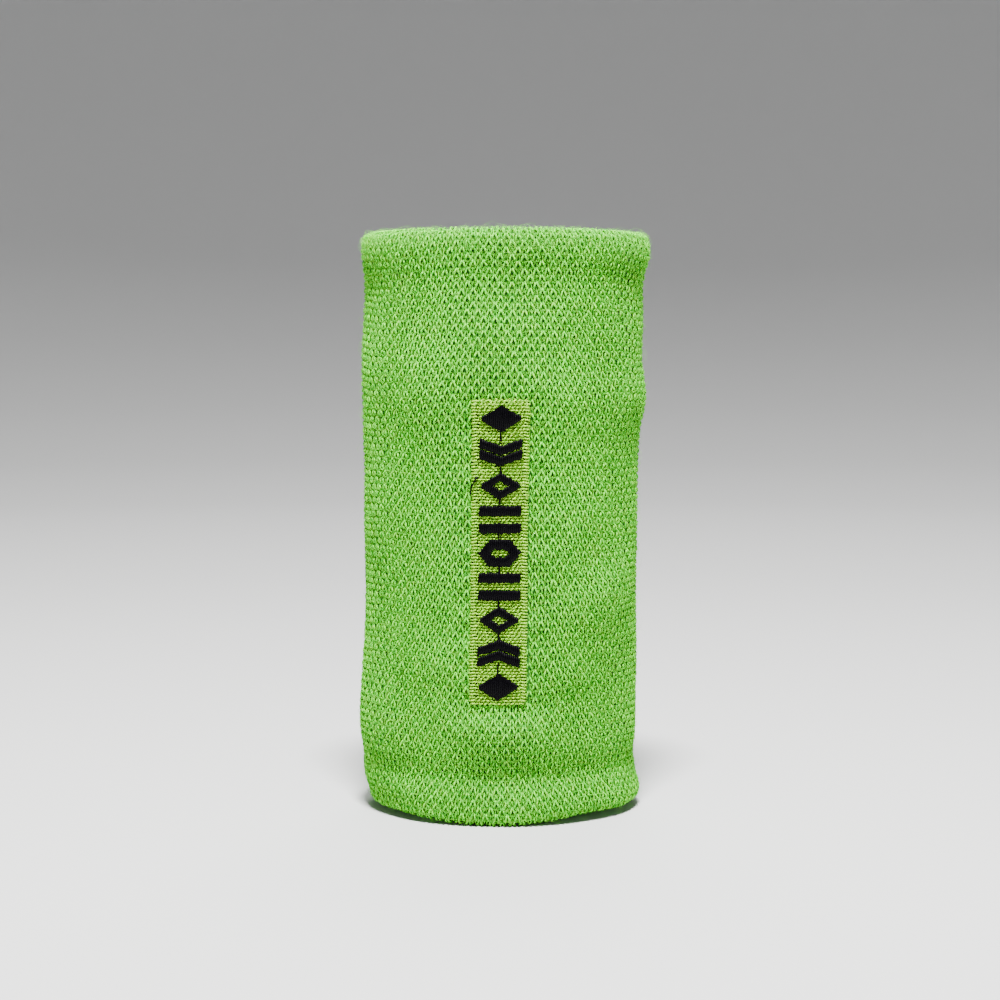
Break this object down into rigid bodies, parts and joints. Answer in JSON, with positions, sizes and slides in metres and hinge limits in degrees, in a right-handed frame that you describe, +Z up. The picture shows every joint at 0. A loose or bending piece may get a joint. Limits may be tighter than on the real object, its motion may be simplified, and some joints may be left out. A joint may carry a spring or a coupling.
{
  "type": "sweat wristband",
  "caption": "Long green knitted sweat wristband, a double-layer elastic tube with turned edges and an embroidered strip of geometric motifs down its front.",
  "frame": {"origin": "centre of the bottom edge, on the surface that the band stands on", "axes": "+Z up the band's height, +X across its width to the right seen from the front, -Y towards the embroidered front"},
  "size_m": [0.0638, 0.0562, 0.127],
  "materials": {
    "green_knit": "soft cotton-blend plain knit, heathered apple green",
    "green_terry": "soft cotton terry loops, apple green",
    "elastic_thread": "covered elastic thread, olive",
    "seam_thread": "polyester linking thread, apple green",
    "white_backing": "soft cut-away nonwoven backing",
    "white_bobbin_thread": "fine polyester bobbin thread",
    "lime_thread": "rayon embroidery thread, lime yellow, soft lustre",
    "black_thread": "rayon embroidery thread, black, soft lustre"
  },
  "bodies": {
    "root": {"outer_knit_face": "green_knit", "outer_elastic_inlay": "elastic_thread", "outer_terry_pile": "green_terry", "top_turned_edge": "green_knit", "top_edge_pile": "green_terry", "bottom_turned_edge": "green_knit", "bottom_edge_pile": "green_terry", "inner_upper_terry_pile": "green_terry", "inner_lower_terry_pile": "green_terry", "inner_upper_elastic_inlay": "elastic_thread", "inner_lower_elastic_inlay": "elastic_thread", "inner_upper_knit_face": "green_knit", "inner_lower_knit_face": "green_knit", "closing_seam_ridge": "green_terry", "closing_seam_thread": "seam_thread", "embroidery_backing": "white_backing", "embroidery_bobbin_thread": "white_bobbin_thread", "embroidery_ground_fill": "lime_thread", "embroidery_left_border": "lime_thread", "embroidery_right_border": "lime_thread", "satin_lozenge_lower": "black_thread", "satin_chevrons_lower": "black_thread", "satin_open_lozenge_lower": "black_thread", "satin_bars_lower": "black_thread", "satin_hexagon": "black_thread", "satin_bars_upper": "black_thread", "satin_open_lozenge_upper": "black_thread", "satin_chevrons_upper": "black_thread", "satin_lozenge_upper": "black_thread", "satin_jump_stitches": "black_thread"}
  },
  "joints": []
}
